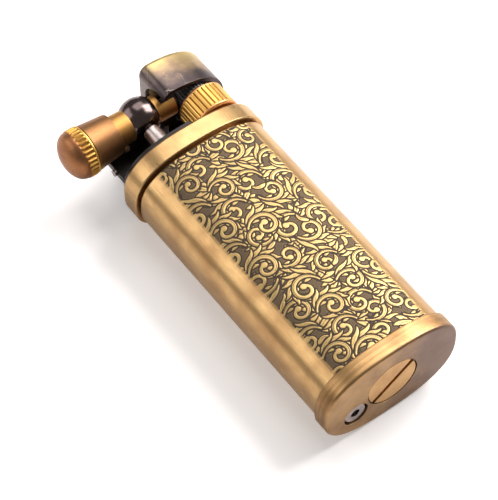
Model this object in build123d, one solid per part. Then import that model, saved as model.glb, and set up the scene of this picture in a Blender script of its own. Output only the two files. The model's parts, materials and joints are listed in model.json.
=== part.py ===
# Pocket gas lighter with a thumb roller, a flint tube and a lifting hood.
#
# Frame: origin at the centre of the flat base, +Z towards the flame, the
# engraved front faces -Y, the flint tube points to -X and the hood sits at +X.
from build123d import *
import os
from math import cos, pi, sin

# Outer section: a superellipse, the same exponent at every level.
SECTION_POWER = 2.6
SECTION_POINTS = 40
COLLAR_HALF = (13.5, 9.0)
BODY_INSET = 0.62
BASE_INSET = 0.1
SLEEVE_WALL = 0.8
CAP_WALL = 1.0
BASE_ROUND = 0.55
COLLAR_ROUND = 0.4
EDGE_BREAK = 0.15

# Levels along the body.
BASE_TOP = 3.3
SLEEVE_TOP = 51.8
COLLAR_BOTTOM = 52.4
COLLAR_TOP = 56.1
COLLAR_WEB_BOTTOM = 54.1
LID_BOTTOM = 49.0
LID_TOP = 50.0
GASKET_THICKNESS = 0.4
GASKET_WIDTH = 0.7
CAP_WEB_TOP = 2.0
CAP_SPIGOT_TOP = 5.0
SPIGOT_WALL = 0.7

# Gas tank.
TANK_HALF = (11.6, 7.1)
TANK_WALL = 0.6
TANK_BOTTOM = 5.6
TANK_FLOOR = 1.0
TANK_BOSS_R = 3.8
TANK_BOSS_TOP = 9.0

# Base screw and filling valve.
BASE_SCREW_HEAD_R = 4.85
BASE_SCREW_SHANK_R = 2.45
BASE_SCREW_HEAD_H = 1.15
BASE_SCREW_TOP = 7.4
BASE_SCREW_ROOM = 0.15
BASE_GASKET_R = 4.8
BASE_GASKET_H = 0.8
SCREW_SLOT = (1.0, 0.6)
SCREW_SLOT_ANGLE = -36
RUNNING_GAP = 0.05
VALVE_AT = (-7.3, 2.9)
VALVE_R = 2.1
VALVE_HOLE_R = 2.4
VALVE_TOP = 10.5
VALVE_BOTTOM = 0.25
INLET_R = 0.9
INLET_TOP = 2.4
STEM_R = 0.6
STEM_COLLAR = (1.15, 3.6, 4.4)
STEM_TOP = 6.0
VALVE_CHAMBER = (1.3, 3.5, 9.7)
VALVE_OUTLET_R = 0.4
SEAL_WIRE = 0.28
VALVE_COIL = (0.9, 0.14)

# Spindle of the roller and axis of the flint tube.
SPINDLE_AT = (6.8, -4.0)
SPINDLE_R = 1.1
SPINDLE_TOP = 68.6
CLIP_Z = (67.7, 68.1)
CLIP_R = (0.8, 2.0)
CLIP_GAP = 1.1
WASHER_R = 2.2
ROLLER_R = 4.5
ROLLER_RIM = 0.6
ROLLER_Z = (56.6, 62.0)
KNURL_COUNT = 32
KNURL_GROOVE_R = 0.18
STRIKER_R = 3.0
STRIKER_Z = (62.9, 67.5)
STRIKER_TEETH = 30
STRIKER_TOOTH = 0.2
CAM_R = 2.3
CAM_LOBE = (-0.9, 0.6)
CAM_LOBE_R = 1.9
FLINT_GAP = 0.08
TUBE_Y = SPINDLE_AT[1]
TUBE_Z = 65.2
TUBE_END = 2.75
TUBE_R = 2.5
TUBE_BORE = 1.3
NOTCH_LEFT = 0.2
NOTCH_Z = 64.1
PLUG_BORE = 2.2
BARREL_X = (-14.3, -9.1)
BARREL_R = (4.3, 3.75)
NECK_R = (3.05, 2.9)
BALL_X = -3.6
BALL_R = 3.85
BALL_HALF_WIDTH = 2.55

# Flint screw.
KNOB_R = 4.55
KNOB_RING = 2.1
KNOB_DOME = 2.8
KNOB_DOME_R = 4.35
KNOB_KNURLS = 32
KNOB_KNURL_DEPTH = 0.28
KNOB_GAP = 0.15
PIN_R = 0.8
PLUG_SEAT = -10.5
PLUG_NOSE = (1.0, -9.4)
FLINT_R = 1.2
FLINT_LEFT = -0.6
FOLLOWER_LEFT = -2.6
FOLLOWER_TAIL = (0.5, -5.5)
FLINT_COIL = (0.85, 0.15)

# Chassis and the pivots it carries.
PLATE_HALF = (12.6, 8.1)
PLATE_TOP = 57.1
CHEEK_TOP = 67.0
FRONT_CHEEK_Y = (0.5, 1.8)
REAR_CHEEK_Y = (5.1, 6.1)
ARM_Y = (2.05, 3.65)
HINGE_AT = (-7.5, 64.2)
HINGE_R = 0.8
PIN_PROUD = 0.1
HINGE_COIL = (1.25, 0.16)
LEVER_AT = (-2.0, 61.6)
LEVER_PIN_R = 0.6
LEVER_Y = (2.15, 3.55)
LEVER_THICKNESS = 0.6
CHASSIS_SCREWS = ((-7.3, -4.4), (-0.2, 3.3))
CHASSIS_SCREW_R = 0.6
SCREW_HEAD = (1.1, 0.7)
HEAD_SLOT = (0.3, 0.3)
PLATE_RIGHT = 1.2
CHEEK_RIGHT = -0.9
FRONT_CHEEK_LEFT = -11.4
REAR_CHEEK_LEFT = -9.0
CHEEK_ROUND = 1.4
SIDE_SCREW_Z = 61.5
SIDE_SCREW_R = (0.62, 0.4)
SIDE_SCREW_HEAD = 0.5
SIDE_SCREW_END = -9.8
STUD_R = 1.0
STUD_BOTTOM = 52.7
POST_FLANGE = (2.2, 1.0)
POST_R = (1.75, 1.4)
POST_NUT_R = 2.1

FAR_OUT = 20.0

# Burner.
BURNER_AT = (6.6, 3.6)
BURNER_BODY_R = 1.9
NOZZLE_R = 0.8
NOZZLE_TOP = 66.0
BURNER_BOTTOM = 45.0
BURNER_TOP = 59.0
BURNER_BORE = (1.45, 46.5)
BURNER_INLET_R = 0.4
BURNER_NUT = (2.3, 1.5)
GLAND_BOTTOM = 57.0
GLAND_TOP = 59.7
NOZZLE_FOOT = (1.4, 46.8, 48.6)
NOZZLE_FLANGE = (1.5, 60.2, 61.0)
NOZZLE_GROOVE = (1.0, 61.0, 62.2)
NOZZLE_HEAD_R = 1.5
JET_R = 0.3
JET_DEPTH = 2.0
BURNER_COIL = (1.1, 0.15)

# Hood.
HOOD_HALF = (12.9, 9.0)
HOOD_WALL = 0.8
HOOD_Z = (63.4, 71.2)
HOOD_LEFT = 0.25
HOOD_CORNER_R = 2.0
HOOD_TOP_R = 0.9
HOOD_ARCH_R = 3.7
HOOD_WINDOW_Z = 65.4
ARM_NECK_Z = 66.2
ARM_BOSS_R = 1.7
ARM_FOOT_X = 4.6
ARM_FOOT_Y = (1.2, 4.5)
ARM_FOOT_H = 1.0
PAD_R = 1.9
PAD_GAP = 0.4

# Valve lever.
LEVER_LEFT = -10.3
LEVER_BOSS_R = 0.95
FORK_X = (4.6, 8.0)
FORK_HALF = 2.3
FORK_SLOT_HALF = 1.25
FORK_SLOT_LEFT = 5.3


def section_half(half, inset=0.0):
    """Half sizes of a section, moved inwards by inset."""
    return (half[0] - inset, half[1] - inset)


def section(half, z=0.0):
    """Closed superellipse face with the given half sizes, at height z."""
    points = []
    for index in range(SECTION_POINTS):
        turn = 2 * pi * index / SECTION_POINTS
        across = abs(cos(turn)) ** (2 / SECTION_POWER) * (1 if cos(turn) >= 0 else -1)
        deep = abs(sin(turn)) ** (2 / SECTION_POWER) * (1 if sin(turn) >= 0 else -1)
        points.append((half[0] * across, half[1] * deep, z))
    return make_face(Spline(*points, periodic=True))


def block(half, bottom, top):
    """Superellipse prism between two heights."""
    return extrude(section(half, bottom), amount=top - bottom, dir=(0, 0, 1))


def rod(at, radius, bottom, top):
    """Upright round rod."""
    return Pos(at[0], at[1], (bottom + top) / 2) * Cylinder(radius, top - bottom)


def rod_x(radius, left, right, y=TUBE_Y, z=TUBE_Z):
    """Round rod along X."""
    return Pos((left + right) / 2, y, z) * Rot(0, 90, 0) * Cylinder(radius, right - left)


def cone_x(left_radius, right_radius, left, right):
    """Tapered round rod along X, on the tube axis."""
    middle = Pos((left + right) / 2, TUBE_Y, TUBE_Z)
    return middle * Rot(0, 90, 0) * Cone(left_radius, right_radius, right - left)


def rod_y(at, radius, front, back):
    """Round rod along Y through the point (x, z)."""
    return Pos(at[0], (front + back) / 2, at[1]) * Rot(90, 0, 0) * Cylinder(radius, back - front)


def bar(x_range, y_range, z_range):
    """Straight block between two opposite corners."""
    sizes = [top - bottom for bottom, top in (x_range, y_range, z_range)]
    middle = [(bottom + top) / 2 for bottom, top in (x_range, y_range, z_range)]
    return Pos(*middle) * Box(*sizes)


def edges_at(solid, height):
    """All edges of a solid that lie flat at one height."""
    return [edge for edge in solid.edges()
            if abs(edge.center().Z - height) < 1e-3
            and edge.bounding_box().size.Z < 1e-3]


def upright_edges(solid, x):
    """All vertical edges of a solid that stand in one plane of constant X."""
    return [edge for edge in solid.edges()
            if abs(edge.center().X - x) < 1e-3
            and edge.bounding_box().size.Y < 1e-3
            and edge.bounding_box().size.Z > 1]


def coil(radius, wire, bottom, top, turns):
    """Helical spring along Z, centred on the origin."""
    path = Helix(pitch=(top - bottom) / turns, height=top - bottom, radius=radius)
    start = Plane(origin=path @ 0, z_dir=path % 0)
    return Pos(0, 0, bottom) * sweep(start * Circle(wire), path=path, is_frenet=True)


def gear_ring(radius, depth, count, bottom, top):
    """Disc with evenly spaced upright grooves round its rim."""
    disc = rod((0, 0), radius, bottom, top)
    groove_r = pi * radius / count * 0.5
    cutters = []
    for index in range(count):
        turn = 2 * pi * index / count
        at = ((radius + groove_r - depth) * cos(turn), (radius + groove_r - depth) * sin(turn))
        cutters.append(rod(at, groove_r, bottom - 1, top + 1))
    return disc - cutters


# ---------------------------------------------------------------- body
def make_body_sleeve():
    outer = section_half(COLLAR_HALF, BODY_INSET)
    shell = block(outer, BASE_TOP, SLEEVE_TOP)
    return shell - block(section_half(outer, SLEEVE_WALL), BASE_TOP, SLEEVE_TOP)


def make_base_cap():
    outer = section_half(COLLAR_HALF, BASE_INSET)
    spigot = section_half(COLLAR_HALF, BODY_INSET + SLEEVE_WALL)
    cap = block(outer, 0, BASE_TOP)
    cap = fillet(edges_at(cap, 0), BASE_ROUND)
    cap = chamfer(edges_at(cap, BASE_TOP), EDGE_BREAK)
    cap += block(spigot, BASE_TOP, CAP_SPIGOT_TOP)
    cap -= block(section_half(spigot, CAP_WALL), CAP_WEB_TOP, CAP_SPIGOT_TOP)
    head_room = BASE_SCREW_HEAD_H + 2 * RUNNING_GAP
    cap -= rod((0, 0), BASE_SCREW_HEAD_R + BASE_SCREW_ROOM, 0, head_room)
    cap -= rod((0, 0), BASE_SCREW_SHANK_R + BASE_SCREW_ROOM, 0, CAP_WEB_TOP)
    return cap - rod(VALVE_AT, VALVE_HOLE_R, 0, CAP_WEB_TOP)


def make_base_gasket():
    top = CAP_WEB_TOP + BASE_GASKET_H
    return rod((0, 0), BASE_GASKET_R, CAP_WEB_TOP, top) - rod((0, 0), TANK_BOSS_R, CAP_WEB_TOP, top)


def make_base_screw():
    head_top = RUNNING_GAP + BASE_SCREW_HEAD_H
    head = rod((0, 0), BASE_SCREW_HEAD_R, RUNNING_GAP, head_top)
    head = chamfer(edges_at(head, RUNNING_GAP), EDGE_BREAK)
    screw = head + rod((0, 0), BASE_SCREW_SHANK_R, head_top, BASE_SCREW_TOP)
    width, depth = SCREW_SLOT
    reach = BASE_SCREW_HEAD_R + 1
    slot = bar((-reach, reach), (-width / 2, width / 2), (-1, RUNNING_GAP + depth))
    return screw - Rot(0, 0, SCREW_SLOT_ANGLE) * slot


def make_gas_tank():
    cup_top = LID_BOTTOM - GASKET_THICKNESS
    floor_top = TANK_BOTTOM + TANK_FLOOR
    cup = block(TANK_HALF, TANK_BOTTOM, cup_top)
    cup -= block(section_half(TANK_HALF, TANK_WALL), floor_top, cup_top)
    cup += rod((0, 0), TANK_BOSS_R, CAP_WEB_TOP, TANK_BOSS_TOP)
    cup -= rod((0, 0), BASE_SCREW_SHANK_R + RUNNING_GAP, CAP_WEB_TOP, TANK_BOSS_TOP - TANK_FLOOR)
    return cup - rod(VALVE_AT, VALVE_R, TANK_BOTTOM, floor_top)


def make_tank_gasket():
    bottom = LID_BOTTOM - GASKET_THICKNESS
    ring = block(TANK_HALF, bottom, LID_BOTTOM)
    return ring - block(section_half(TANK_HALF, GASKET_WIDTH), bottom, LID_BOTTOM)


def make_tank_lid():
    lid = block(TANK_HALF, LID_BOTTOM, LID_TOP)
    return lid - rod(BURNER_AT, BURNER_BODY_R, LID_BOTTOM, LID_TOP)


def make_top_collar():
    spigot = section_half(COLLAR_HALF, BODY_INSET + SLEEVE_WALL)
    collar = block(COLLAR_HALF, COLLAR_BOTTOM, COLLAR_TOP)
    collar = fillet(edges_at(collar, COLLAR_TOP), COLLAR_ROUND)
    collar = chamfer(edges_at(collar, COLLAR_BOTTOM), EDGE_BREAK)
    collar += block(spigot, LID_TOP, COLLAR_BOTTOM)
    collar -= block(section_half(spigot, SPIGOT_WALL), LID_TOP, COLLAR_WEB_BOTTOM)
    collar -= rod(BURNER_AT, BURNER_BODY_R, COLLAR_WEB_BOTTOM, COLLAR_TOP)
    collar -= rod(SPINDLE_AT, SPINDLE_R, COLLAR_WEB_BOTTOM, COLLAR_TOP)
    collar -= rod((BALL_X, TUBE_Y), STUD_R, COLLAR_WEB_BOTTOM, COLLAR_TOP)
    for at in CHASSIS_SCREWS:
        collar -= rod(at, CHASSIS_SCREW_R, COLLAR_WEB_BOTTOM, COLLAR_TOP)
    return collar


# ---------------------------------------------------------------- filling valve
def make_fill_valve_body():
    body = rod(VALVE_AT, VALVE_R, VALVE_BOTTOM, VALVE_TOP)
    body = chamfer(edges_at(body, VALVE_BOTTOM), EDGE_BREAK)
    chamber_r, chamber_bottom, chamber_top = VALVE_CHAMBER
    body -= rod(VALVE_AT, INLET_R, VALVE_BOTTOM, INLET_TOP)
    body -= rod(VALVE_AT, STEM_R + 2 * RUNNING_GAP, INLET_TOP, chamber_bottom)
    body -= rod(VALVE_AT, chamber_r, chamber_bottom, chamber_top)
    return body - rod(VALVE_AT, VALVE_OUTLET_R, chamber_top, VALVE_TOP)


def make_fill_valve_stem():
    collar_r, collar_bottom, collar_top = STEM_COLLAR
    stem = rod(VALVE_AT, STEM_R, INLET_TOP + RUNNING_GAP, collar_bottom)
    guide = rod(VALVE_AT, STEM_R - 2 * RUNNING_GAP, collar_top, STEM_TOP)
    return stem + rod(VALVE_AT, collar_r, collar_bottom, collar_top) + guide


def make_fill_valve_spring():
    radius, wire = VALVE_COIL
    turns = coil(radius, wire, STEM_COLLAR[2] + 1.4 * wire, VALVE_CHAMBER[2] - 1.4 * wire, 6)
    return Pos(VALVE_AT[0], VALVE_AT[1], 0) * turns


def make_fill_valve_seal():
    middle = Pos(VALVE_AT[0], VALVE_AT[1], TANK_BOTTOM - SEAL_WIRE)
    return middle * Torus(VALVE_R + SEAL_WIRE, SEAL_WIRE)


# ---------------------------------------------------------------- burner
def make_burner_valve_body():
    bore_r, bore_bottom = BURNER_BORE
    nut_r, nut_height = BURNER_NUT
    nut = extrude(RegularPolygon(nut_r, 6), amount=nut_height)
    body = rod(BURNER_AT, BURNER_BODY_R, BURNER_BOTTOM, BURNER_TOP)
    body += Pos(BURNER_AT[0], BURNER_AT[1], LID_TOP) * nut
    body -= rod(BURNER_AT, bore_r, bore_bottom, BURNER_TOP)
    return body - rod(BURNER_AT, BURNER_INLET_R, BURNER_BOTTOM, bore_bottom)


def make_burner_gland():
    gland = rod(BURNER_AT, BURNER_BORE[0], GLAND_BOTTOM, BURNER_TOP)
    gland += rod(BURNER_AT, BURNER_BODY_R, BURNER_TOP, GLAND_TOP)
    return gland - rod(BURNER_AT, NOZZLE_R + RUNNING_GAP, GLAND_BOTTOM, GLAND_TOP)


def make_burner_nozzle():
    nozzle = rod(BURNER_AT, *NOZZLE_FOOT)
    nozzle += rod(BURNER_AT, NOZZLE_R, NOZZLE_FOOT[2], NOZZLE_FLANGE[1])
    nozzle += rod(BURNER_AT, *NOZZLE_FLANGE)
    nozzle += rod(BURNER_AT, *NOZZLE_GROOVE)
    head = rod(BURNER_AT, NOZZLE_HEAD_R, NOZZLE_GROOVE[2], NOZZLE_TOP)
    nozzle += chamfer(edges_at(head, NOZZLE_TOP), JET_R)
    return nozzle - rod(BURNER_AT, JET_R, NOZZLE_TOP - JET_DEPTH, NOZZLE_TOP)


def make_burner_spring():
    radius, wire = BURNER_COIL
    turns = coil(radius, wire, NOZZLE_FOOT[2] + 1.4 * wire, GLAND_BOTTOM - 1.4 * wire, 8)
    return Pos(BURNER_AT[0], BURNER_AT[1], 0) * turns


# ---------------------------------------------------------------- chassis
def side_screw_rod(radius, left, right):
    return rod_x(radius, left, right, y=sum(FRONT_CHEEK_Y) / 2, z=SIDE_SCREW_Z)


def make_chassis():
    plate = block(PLATE_HALF, COLLAR_TOP, PLATE_TOP)
    plate -= bar((PLATE_RIGHT, FAR_OUT), (-FAR_OUT, FAR_OUT), (COLLAR_TOP, PLATE_TOP))
    front = bar((FRONT_CHEEK_LEFT, CHEEK_RIGHT), FRONT_CHEEK_Y, (PLATE_TOP, CHEEK_TOP))
    rear = bar((REAR_CHEEK_LEFT, CHEEK_RIGHT), REAR_CHEEK_Y, (PLATE_TOP, CHEEK_TOP))
    front = fillet(front.edges().filter_by(Axis.Y).group_by(Axis.Z)[-1], CHEEK_ROUND)
    rear = fillet(rear.edges().filter_by(Axis.Y).group_by(Axis.Z)[-1], CHEEK_ROUND)
    chassis = plate + front + rear
    chassis -= rod_y(HINGE_AT, HINGE_R, 0, REAR_CHEEK_Y[1])
    chassis -= rod_y(LEVER_AT, LEVER_PIN_R, 0, REAR_CHEEK_Y[1])
    chassis -= rod((BALL_X, TUBE_Y), STUD_R, COLLAR_TOP, PLATE_TOP)
    chassis -= side_screw_rod(SIDE_SCREW_R[1], FRONT_CHEEK_LEFT, SIDE_SCREW_END)
    for at in CHASSIS_SCREWS:
        chassis -= rod(at, CHASSIS_SCREW_R, COLLAR_TOP, PLATE_TOP)
    return chassis


def make_chassis_screw(at):
    head_r, head_height = SCREW_HEAD
    top = PLATE_TOP + head_height
    width, depth = HEAD_SLOT
    screw = rod(at, CHASSIS_SCREW_R, COLLAR_WEB_BOTTOM, PLATE_TOP)
    head = fillet(edges_at(rod(at, head_r, PLATE_TOP, top), top), depth * 0.8)
    slot = bar((-head_r, head_r), (-width / 2, width / 2), (top - depth, top))
    return screw + head - Pos(at[0], at[1], 0) * slot


def make_side_screw():
    head_r, shank_r = SIDE_SCREW_R
    head = side_screw_rod(head_r, FRONT_CHEEK_LEFT - SIDE_SCREW_HEAD, FRONT_CHEEK_LEFT)
    return head + side_screw_rod(shank_r, FRONT_CHEEK_LEFT, SIDE_SCREW_END)


def make_ball_post():
    at = (BALL_X, TUBE_Y)
    flange_r, flange_height = POST_FLANGE
    neck_bottom = PLATE_TOP + flange_height
    neck_top = TUBE_Z - TUBE_R - 2 * RUNNING_GAP
    stud = rod(at, STUD_R, STUD_BOTTOM, PLATE_TOP)
    flange = rod(at, flange_r, PLATE_TOP, neck_bottom)
    flange = fillet(edges_at(flange, neck_bottom), flange_height / 4)
    neck = Pos(at[0], at[1], (neck_bottom + neck_top) / 2) * Cone(*POST_R, neck_top - neck_bottom)
    return stud + flange + neck


def make_post_nut():
    at = (BALL_X, TUBE_Y)
    bottom = STUD_BOTTOM + 0.2
    nut = extrude(RegularPolygon(POST_NUT_R, 6), amount=COLLAR_WEB_BOTTOM - bottom)
    return Pos(at[0], at[1], bottom) * nut - rod(at, STUD_R, bottom, COLLAR_WEB_BOTTOM)


def make_ball_collar():
    ball = Pos(BALL_X, TUBE_Y, TUBE_Z) * Sphere(BALL_R)
    reach = BALL_R + 1
    ball -= rod_x(reach, BALL_X - 2 * reach, BALL_X - BALL_HALF_WIDTH)
    ball -= rod_x(reach, BALL_X + BALL_HALF_WIDTH, BALL_X + 2 * reach)
    ball -= rod_x(TUBE_R, BALL_X - reach, BALL_X + reach)
    return ball - make_ball_post()


def make_flint_tube():
    barrel = cone_x(BARREL_R[0], BARREL_R[1], *BARREL_X)
    neck_end = BALL_X - BALL_HALF_WIDTH
    neck = cone_x(NECK_R[0], NECK_R[1], BARREL_X[1], neck_end)
    tube = barrel + neck + rod_x(TUBE_R, neck_end, TUBE_END)
    tube -= rod_x(PLUG_BORE, BARREL_X[0], PLUG_SEAT)
    tube -= rod_x(TUBE_BORE, PLUG_SEAT, TUBE_END)
    across = (TUBE_Y - BALL_R, TUBE_Y + BALL_R)
    notch = bar((NOTCH_LEFT, TUBE_END), across, (NOTCH_Z, TUBE_Z + BALL_R))
    return tube - notch


def make_hinge_pin():
    return rod_y(HINGE_AT, HINGE_R, FRONT_CHEEK_Y[0] - PIN_PROUD, REAR_CHEEK_Y[1] + PIN_PROUD)


def make_lever_pin():
    return rod_y(LEVER_AT, LEVER_PIN_R, FRONT_CHEEK_Y[0] - PIN_PROUD, REAR_CHEEK_Y[1] + PIN_PROUD)


def make_hood_spring():
    radius, wire = HINGE_COIL
    front, back = ARM_Y[1] + 1.3 * wire, REAR_CHEEK_Y[0] - 1.6 * wire
    turns = Rot(90, 0, 0) * coil(radius, wire, -back, -front, 3)
    return Pos(HINGE_AT[0], 0, HINGE_AT[1]) * turns


# ---------------------------------------------------------------- roller and striker
def make_roller_axle():
    axle = rod(SPINDLE_AT, SPINDLE_R, COLLAR_WEB_BOTTOM, SPINDLE_TOP)
    groove = rod(SPINDLE_AT, SPINDLE_R + 1, *CLIP_Z) - rod(SPINDLE_AT, CLIP_R[0], *CLIP_Z)
    return chamfer(edges_at(axle, SPINDLE_TOP), EDGE_BREAK) - groove


def make_roller_washer():
    top = ROLLER_Z[0] - 2 * RUNNING_GAP
    return rod(SPINDLE_AT, WASHER_R, COLLAR_TOP, top) - rod(SPINDLE_AT, SPINDLE_R, COLLAR_TOP, top)


def make_axle_clip():
    inner, outer = CLIP_R
    clip = rod(SPINDLE_AT, outer, *CLIP_Z) - rod(SPINDLE_AT, inner, *CLIP_Z)
    x, y = SPINDLE_AT
    mouth = (y - CLIP_GAP / 2, y + CLIP_GAP / 2)
    return clip - bar((x + inner / 3, x + outer + 1), mouth, CLIP_Z)


def spindle_bore(bottom, top):
    return rod(SPINDLE_AT, SPINDLE_R + RUNNING_GAP, bottom, top)


def make_thumb_roller():
    bottom, top = ROLLER_Z
    wheel = rod((0, 0), ROLLER_R, bottom, top)
    wheel = chamfer(edges_at(wheel, bottom) + edges_at(wheel, top), ROLLER_RIM / 2)
    wheel -= knurl_cutters(bottom + ROLLER_RIM, top - ROLLER_RIM)
    return Pos(SPINDLE_AT[0], SPINDLE_AT[1], 0) * wheel - spindle_bore(bottom, top)


def knurl_cutters(bottom, top):
    """The upright grooves of the roller, as solids to take away."""
    cutters = []
    for index in range(KNURL_COUNT):
        turn = 2 * pi * index / KNURL_COUNT
        at = (ROLLER_R * cos(turn), ROLLER_R * sin(turn))
        cutters.append(rod(at, KNURL_GROOVE_R, bottom, top))
    return cutters


def make_lift_cam():
    bottom, top = ROLLER_Z[1], STRIKER_Z[0]
    disc = rod(SPINDLE_AT, CAM_R, bottom, top)
    lobe = rod((SPINDLE_AT[0] + CAM_LOBE[0], SPINDLE_AT[1] + CAM_LOBE[1]), CAM_LOBE_R, bottom, top)
    return disc + lobe - spindle_bore(bottom, top)


def make_striker_wheel():
    wheel = gear_ring(STRIKER_R, STRIKER_TOOTH, STRIKER_TEETH, *STRIKER_Z)
    return Pos(SPINDLE_AT[0], SPINDLE_AT[1], 0) * wheel - spindle_bore(*STRIKER_Z)


# ---------------------------------------------------------------- flint feed
def make_flint():
    return rod_x(FLINT_R, FLINT_LEFT, SPINDLE_AT[0] - STRIKER_R - FLINT_GAP)


def make_flint_follower():
    tail_r, tail_left = FOLLOWER_TAIL
    return rod_x(FLINT_R, FOLLOWER_LEFT, FLINT_LEFT) + rod_x(tail_r, tail_left, FOLLOWER_LEFT)


def make_flint_spring():
    radius, wire = FLINT_COIL
    left, right = PLUG_NOSE[1] + 1.4 * wire, FOLLOWER_LEFT - 1.4 * wire
    turns = Rot(0, 90, 0) * coil(radius, wire, left, right, 9)
    return Pos(0, TUBE_Y, TUBE_Z) * turns


def make_flint_plug():
    left = BARREL_X[0] - KNOB_GAP - KNOB_RING
    shoulder = PLUG_SEAT - 2 * RUNNING_GAP
    nose_r, nose_right = PLUG_NOSE
    thread = rod_x(PLUG_BORE - RUNNING_GAP, BARREL_X[0], shoulder)
    return thread + rod_x(nose_r, shoulder, nose_right) + rod_x(PIN_R, left, BARREL_X[0])


def make_flint_knob():
    right = BARREL_X[0] - KNOB_GAP
    left = right - KNOB_RING
    ring = gear_ring(KNOB_R, KNOB_KNURL_DEPTH, KNOB_KNURLS, 0, KNOB_RING)
    dome = scale(Sphere(KNOB_DOME_R), by=(1, 1, KNOB_DOME / KNOB_DOME_R))
    dome &= Pos(0, 0, KNOB_DOME / 2) * Cylinder(KNOB_R, KNOB_DOME)
    knob = Pos(left, TUBE_Y, TUBE_Z) * Rot(0, -90, 0) * (dome + Pos(0, 0, -KNOB_RING) * ring)
    return knob - rod_x(PIN_R + RUNNING_GAP, left - 2 * RUNNING_GAP, right)


# ---------------------------------------------------------------- hood
def hood_block(half, left, bottom, top):
    """The right-hand part of a section prism, cut off at left."""
    shape = block(half, bottom, top)
    return shape - bar((-FAR_OUT, left), (-FAR_OUT, FAR_OUT), (bottom, top))


def make_hood_shell():
    bottom, top = HOOD_Z
    outer = hood_block(HOOD_HALF, HOOD_LEFT, bottom, top)
    outer = fillet(upright_edges(outer, HOOD_LEFT), HOOD_CORNER_R)
    outer = fillet(edges_at(outer, top), HOOD_TOP_R)
    inner = section_half(HOOD_HALF, HOOD_WALL)
    hollow = hood_block(inner, HOOD_LEFT + HOOD_WALL, bottom, top - HOOD_WALL)
    hollow = fillet(upright_edges(hollow, HOOD_LEFT + HOOD_WALL), HOOD_CORNER_R - HOOD_WALL)
    hood = outer - hollow
    hood -= rod_x(HOOD_ARCH_R, HOOD_LEFT - 1, HOOD_LEFT + HOOD_WALL)
    arch_side = (TUBE_Y - HOOD_ARCH_R, TUBE_Y + HOOD_ARCH_R)
    hood -= bar((HOOD_LEFT - 1, HOOD_LEFT + HOOD_WALL), arch_side, (bottom, TUBE_Z))
    window = bar((HOOD_LEFT - 1, HOOD_LEFT + HOOD_WALL), ARM_Y, (HOOD_WINDOW_Z, top - HOOD_WALL))
    return hood - window


def make_hood_arm():
    x, z = HINGE_AT
    top = HOOD_Z[1] - HOOD_WALL
    wall_right = HOOD_LEFT + HOOD_WALL
    foot_bottom = top - ARM_FOOT_H
    with BuildPart() as arm:
        with BuildSketch(Plane.XZ.offset(-ARM_Y[1])):
            with Locations((x, z)):
                Circle(ARM_BOSS_R)
            Polygon((x - 0.6, z + 1.5), (HOOD_LEFT, foot_bottom), (wall_right, foot_bottom),
                    (wall_right, ARM_NECK_Z), (HOOD_LEFT, ARM_NECK_Z), (x + 1.4, z - 0.6),
                    align=None)
            Polygon((x - 2.6, z - 0.9), (x - 2.6, z - 0.2), (x - 1.0, z + 1.0), (x - 0.8, z - 1.4),
                    align=None)
        extrude(amount=ARM_Y[1] - ARM_Y[0])
    foot = bar((wall_right, ARM_FOOT_X), ARM_FOOT_Y, (foot_bottom, top))
    neck = bar((HOOD_LEFT, wall_right), ARM_Y, (ARM_NECK_Z, foot_bottom + ARM_FOOT_H / 2))
    return arm.part + foot + neck - rod_y(HINGE_AT, HINGE_R + RUNNING_GAP, *ARM_Y)


def make_snuffer_pad():
    top = HOOD_Z[1] - HOOD_WALL
    return rod(BURNER_AT, PAD_R, NOZZLE_TOP + PAD_GAP, top)


# ---------------------------------------------------------------- valve lever
def make_valve_lever():
    x, z = LEVER_AT
    half = LEVER_THICKNESS / 2
    level = (z - half, z + half)
    y = BURNER_AT[1]
    lever = bar((LEVER_LEFT, FORK_X[0]), LEVER_Y, level)
    lever += rod_y(LEVER_AT, LEVER_BOSS_R, *LEVER_Y)
    lever += bar(FORK_X, (y - FORK_HALF, y + FORK_HALF), level)
    lever -= bar((FORK_SLOT_LEFT, FORK_X[1]), (y - FORK_SLOT_HALF, y + FORK_SLOT_HALF), level)
    return lever - rod_y(LEVER_AT, LEVER_PIN_R + RUNNING_GAP, *LEVER_Y)


PARTS = {
    "body_sleeve": make_body_sleeve,
    "base_cap": make_base_cap,
    "base_gasket": make_base_gasket,
    "base_screw": make_base_screw,
    "gas_tank": make_gas_tank,
    "tank_gasket": make_tank_gasket,
    "tank_lid": make_tank_lid,
    "top_collar": make_top_collar,
    "fill_valve_body": make_fill_valve_body,
    "fill_valve_stem": make_fill_valve_stem,
    "fill_valve_spring": make_fill_valve_spring,
    "fill_valve_seal": make_fill_valve_seal,
    "burner_valve_body": make_burner_valve_body,
    "burner_gland": make_burner_gland,
    "burner_nozzle": make_burner_nozzle,
    "burner_spring": make_burner_spring,
    "chassis": make_chassis,
    "chassis_screw_left": lambda: make_chassis_screw(CHASSIS_SCREWS[0]),
    "chassis_screw_right": lambda: make_chassis_screw(CHASSIS_SCREWS[1]),
    "side_screw": make_side_screw,
    "ball_post": make_ball_post,
    "post_nut": make_post_nut,
    "ball_collar": make_ball_collar,
    "flint_tube": make_flint_tube,
    "hinge_pin": make_hinge_pin,
    "lever_pin": make_lever_pin,
    "hood_spring": make_hood_spring,
    "roller_axle": make_roller_axle,
    "roller_washer": make_roller_washer,
    "axle_clip": make_axle_clip,
    "thumb_roller": make_thumb_roller,
    "lift_cam": make_lift_cam,
    "striker_wheel": make_striker_wheel,
    "flint": make_flint,
    "flint_follower": make_flint_follower,
    "flint_spring": make_flint_spring,
    "flint_plug": make_flint_plug,
    "flint_knob": make_flint_knob,
    "hood_shell": make_hood_shell,
    "hood_arm": make_hood_arm,
    "snuffer_pad": make_snuffer_pad,
    "valve_lever": make_valve_lever,
}

os.makedirs("parts", exist_ok=True)
for name, maker in PARTS.items():
    export_step(maker(), f"parts/{name}.step")
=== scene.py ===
import json
import random
from math import ceil, cos, log, pi, radians, sin, sqrt

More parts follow.
